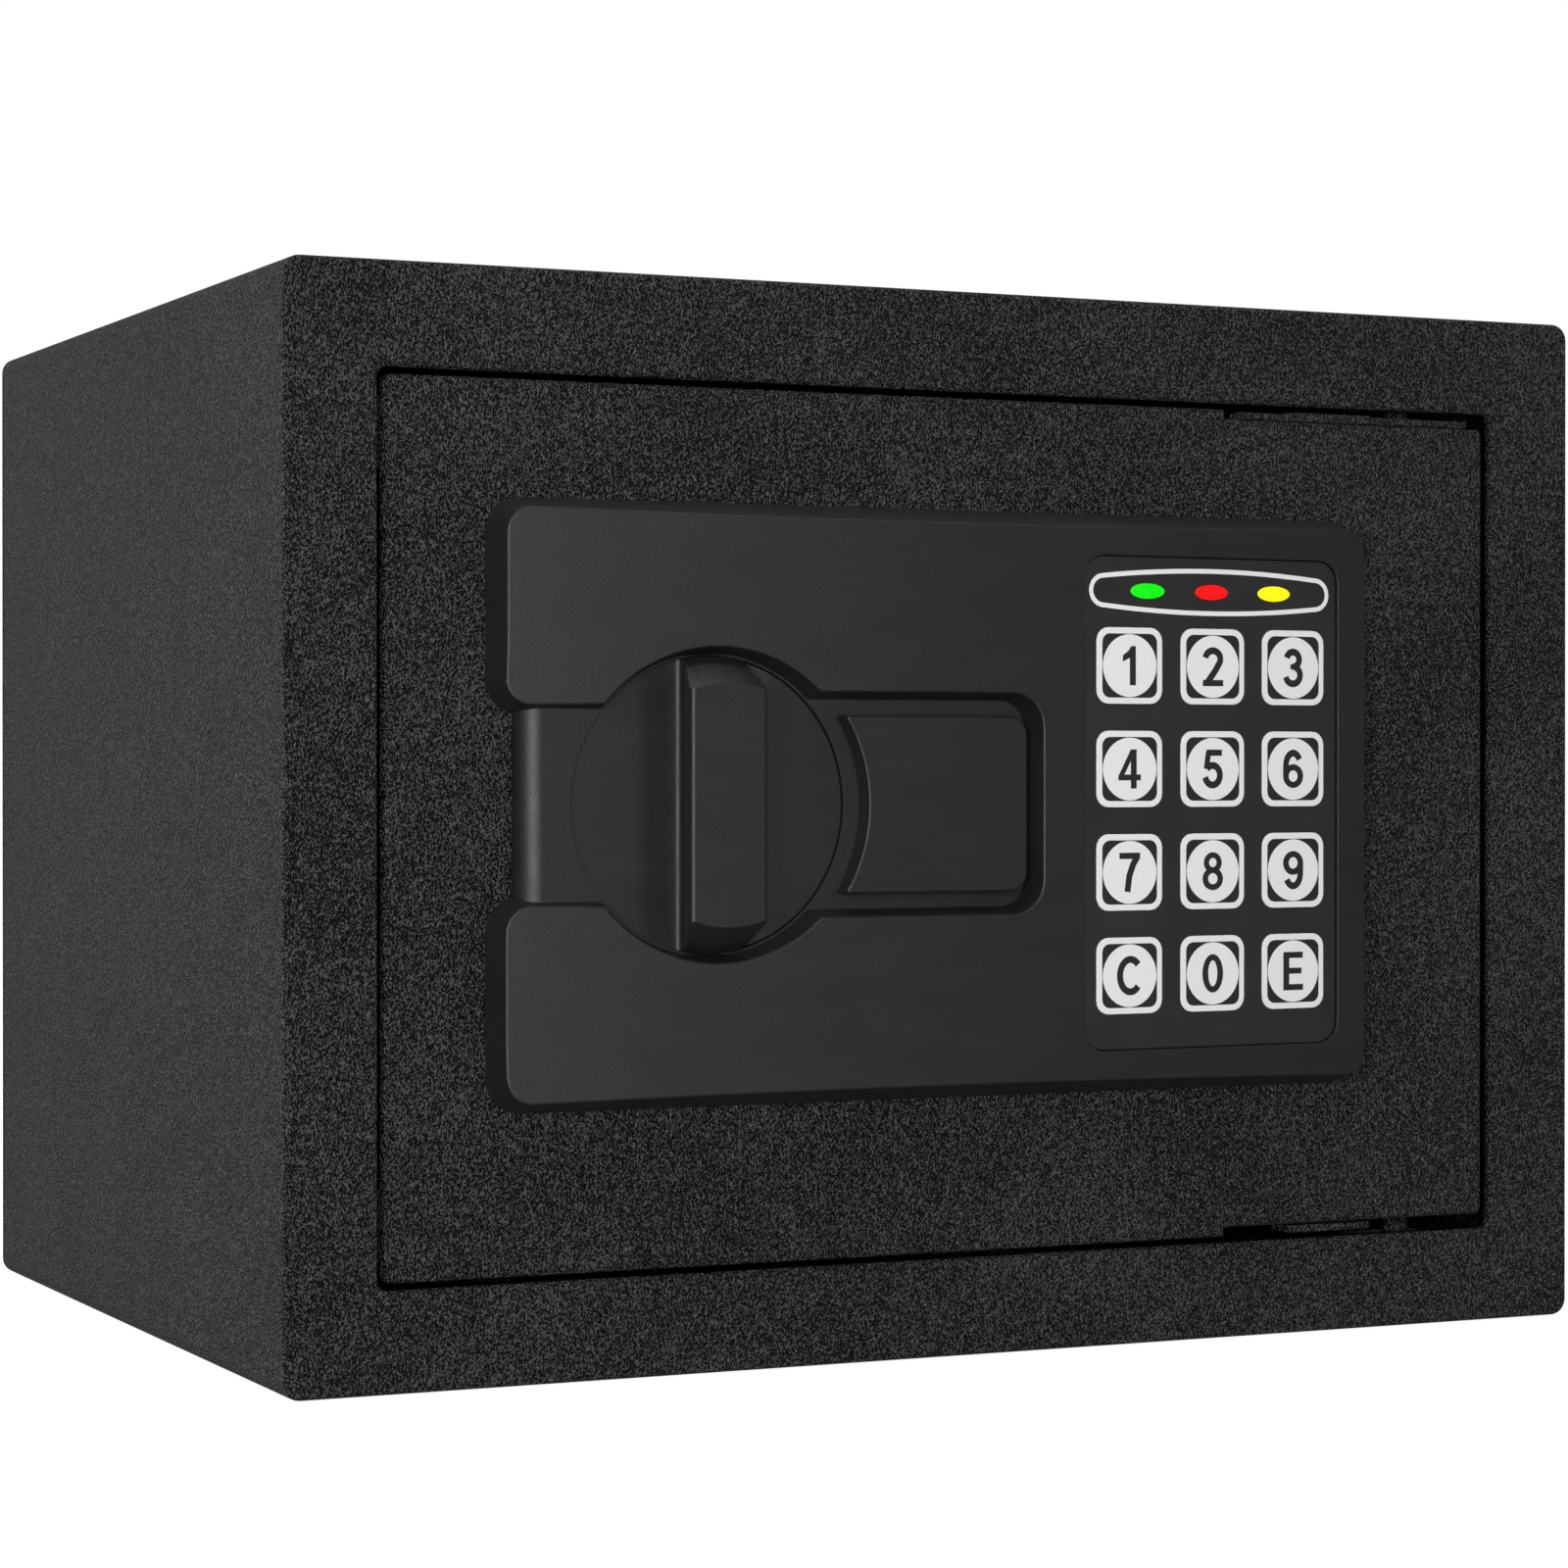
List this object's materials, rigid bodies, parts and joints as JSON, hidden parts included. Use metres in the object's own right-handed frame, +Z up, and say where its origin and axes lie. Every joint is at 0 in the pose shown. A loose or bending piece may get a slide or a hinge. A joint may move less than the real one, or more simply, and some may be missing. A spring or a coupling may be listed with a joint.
{
  "type": "small electronic security safe",
  "caption": "Small steel security safe with a flush hinged door, moulded lock panel, turning knob, keypad, sliding bolts and an empty felt-floored interior.",
  "frame": {"origin": "centre of the base, where the cabinet rests", "axes": "+X to the right seen from the front, +Y from the front to the back, +Z up"},
  "size_m": [0.23, 0.1818, 0.17],
  "materials": {
    "powder_coat": "dark grey wrinkle powder coat, low gloss",
    "panel_plastic": "dark grey moulded plastic, fine satin grain",
    "overlay_film": "dark grey printed film, satin",
    "key_white": "off-white printed keys, satin",
    "zinc_plate": "bright zinc plate, slightly cloudy",
    "bright_steel": "turned bright steel",
    "brass": "turned brass",
    "felt": "short grey felt",
    "board_green": "green solder mask",
    "coil_tape": "yellow coil tape",
    "cell_wrap": "printed-free shrink wrap, glossy",
    "led_green": "clear tinted lens",
    "led_red": "clear tinted lens",
    "led_yellow": "clear tinted lens",
    "button_red": "moulded red plastic"
  },
  "bodies": {
    "cabinet": {"cabinet_wrap": "powder_coat", "front_frame": "powder_coat", "rear_panel": "powder_coat", "upper_hinge_socket": "zinc_plate", "lower_hinge_socket": "zinc_plate", "upper_door_stop": "powder_coat", "lower_door_stop": "powder_coat", "floor_mat": "felt"},
    "door": {"door_plate": "powder_coat", "upper_hinge_arm": "powder_coat", "lower_hinge_arm": "powder_coat", "upper_hinge_pin": "powder_coat", "lower_hinge_pin": "powder_coat", "lock_panel": "panel_plastic", "keypad_overlay": "overlay_film", "led_green": "led_green", "led_red": "led_red", "led_yellow": "led_yellow", "keypad_board": "board_green", "spindle_bush": "brass", "bolt_guide": "zinc_plate", "solenoid_frame": "zinc_plate", "solenoid_coil": "coil_tape", "lock_barrel": "zinc_plate", "lock_nut": "zinc_plate", "door_housing": "powder_coat", "battery_box": "panel_plastic", "battery_1": "cell_wrap", "battery_2": "cell_wrap", "battery_3": "cell_wrap", "battery_4": "cell_wrap", "cover_screw_1": "zinc_plate", "cover_screw_2": "zinc_plate", "cover_screw_3": "zinc_plate", "cover_screw_4": "zinc_plate"},
    "knob": {"knob": "panel_plastic", "knob_spindle": "zinc_plate", "drive_crank": "zinc_plate"},
    "bolts": {"bolt_carriage": "zinc_plate", "upper_bolt": "bright_steel", "lower_bolt": "bright_steel"},
    "key_cover": {"key_cover": "panel_plastic"},
    "lock_plug": {"lock_plug": "brass", "lock_cam": "zinc_plate"},
    "solenoid_plunger": {"solenoid_plunger": "bright_steel"},
    "reset_button": {"reset_button": "button_red"},
    "battery_lid": {"battery_lid": "panel_plastic"},
    "key_1": {"key_1": "key_white"},
    "key_2": {"key_2": "key_white"},
    "key_3": {"key_3": "key_white"},
    "key_4": {"key_4": "key_white"},
    "key_5": {"key_5": "key_white"},
    "key_6": {"key_6": "key_white"},
    "key_7": {"key_7": "key_white"},
    "key_8": {"key_8": "key_white"},
    "key_9": {"key_9": "key_white"},
    "key_c": {"key_c": "key_white"},
    "key_0": {"key_0": "key_white"},
    "key_e": {"key_e": "key_white"}
  },
  "joints": [
    {"name": "door_swing", "type": "hinge", "parent": "cabinet", "child": "door", "pos_m": [0.085, -0.0775, 0.0848], "axis": [0, 0, 1], "range_deg": [0, 100]},
    {"name": "bolt_throw", "type": "slide", "parent": "door", "child": "bolts", "axis": [-1, 0, 0], "range_m": [0, 0.012]},
    {"name": "knob_turn", "type": "hinge", "parent": "door", "child": "knob", "pos_m": [-0.0479, -0.085, 0.08825], "axis": [0, -1, 0], "range_deg": [0, 60]},
    {"name": "cover_lift", "type": "slide", "parent": "door", "child": "key_cover", "axis": [0, -1, 0], "range_m": [0, 0.02]},
    {"name": "key_turn", "type": "hinge", "parent": "door", "child": "lock_plug", "pos_m": [-0.01, -0.085, 0.08825], "axis": [0, 1, 0], "range_deg": [0, 90]},
    {"name": "plunger_lift", "type": "slide", "parent": "door", "child": "solenoid_plunger", "axis": [0, 0, 1], "range_m": [0, 0.003]},
    {"name": "reset_press", "type": "slide", "parent": "door", "child": "reset_button", "axis": [0, -1, 0], "range_m": [0, 0.0015], "stiffness_N_per_m": 400},
    {"name": "lid_lift", "type": "slide", "parent": "door", "child": "battery_lid", "axis": [0, 1, 0], "range_m": [0, 0.02]},
    {"name": "press_key_1", "type": "slide", "parent": "door", "child": "key_1", "axis": [0, 1, 0], "range_m": [0, 0.0005], "stiffness_N_per_m": 400},
    {"name": "press_key_2", "type": "slide", "parent": "door", "child": "key_2", "axis": [0, 1, 0], "range_m": [0, 0.0005], "stiffness_N_per_m": 400},
    {"name": "press_key_3", "type": "slide", "parent": "door", "child": "key_3", "axis": [0, 1, 0], "range_m": [0, 0.0005], "stiffness_N_per_m": 400},
    {"name": "press_key_4", "type": "slide", "parent": "door", "child": "key_4", "axis": [0, 1, 0], "range_m": [0, 0.0005], "stiffness_N_per_m": 400},
    {"name": "press_key_5", "type": "slide", "parent": "door", "child": "key_5", "axis": [0, 1, 0], "range_m": [0, 0.0005], "stiffness_N_per_m": 400},
    {"name": "press_key_6", "type": "slide", "parent": "door", "child": "key_6", "axis": [0, 1, 0], "range_m": [0, 0.0005], "stiffness_N_per_m": 400},
    {"name": "press_key_7", "type": "slide", "parent": "door", "child": "key_7", "axis": [0, 1, 0], "range_m": [0, 0.0005], "stiffness_N_per_m": 400},
    {"name": "press_key_8", "type": "slide", "parent": "door", "child": "key_8", "axis": [0, 1, 0], "range_m": [0, 0.0005], "stiffness_N_per_m": 400},
    {"name": "press_key_9", "type": "slide", "parent": "door", "child": "key_9", "axis": [0, 1, 0], "range_m": [0, 0.0005], "stiffness_N_per_m": 400},
    {"name": "press_key_c", "type": "slide", "parent": "door", "child": "key_c", "axis": [0, 1, 0], "range_m": [0, 0.0005], "stiffness_N_per_m": 400},
    {"name": "press_key_0", "type": "slide", "parent": "door", "child": "key_0", "axis": [0, 1, 0], "range_m": [0, 0.0005], "stiffness_N_per_m": 400},
    {"name": "press_key_e", "type": "slide", "parent": "door", "child": "key_e", "axis": [0, 1, 0], "range_m": [0, 0.0005], "stiffness_N_per_m": 400}
  ],
  "couplings": [
    {"joint": "knob_turn", "follows": "bolt_throw", "rad_per_m": 87.26}
  ]
}
